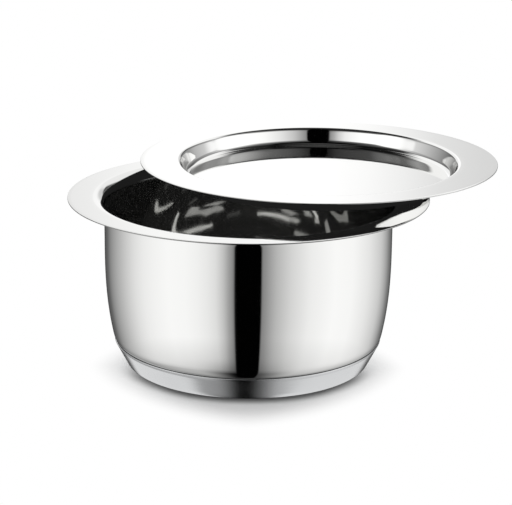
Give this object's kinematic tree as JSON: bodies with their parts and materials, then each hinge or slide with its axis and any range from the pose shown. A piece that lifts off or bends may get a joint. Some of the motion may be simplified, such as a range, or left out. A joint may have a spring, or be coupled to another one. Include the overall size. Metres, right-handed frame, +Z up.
{
  "type": "cooking pot",
  "caption": "Round polished steel cooking pot with a wide flat flange as its grip, a layered base, and a flanged lid with a recessed well lying partly open on it.",
  "frame": {"origin": "centre of the underside of the base, on the surface that the pot stands on", "axes": "+Z up along the pot's axis through the mouth, +X along the longer way of the oval flange, -Y towards the front, where the mouth is open"},
  "size_m": [0.3048, 0.2954, 0.1333],
  "materials": {
    "polished_steel": "mirror polished",
    "brushed_steel": "brushed round the rim",
    "disc_aluminium": "plain"
  },
  "bodies": {
    "pot": {"pot_body": "polished_steel", "heat_disc": "disc_aluminium", "base_cap": "brushed_steel"},
    "lid": {"lid": "polished_steel"}
  },
  "joints": [
    {"name": "lid_lift", "type": "slide", "parent": "pot", "child": "lid", "axis": [0, 0, 1], "range_m": [0, 0.15]}
  ]
}
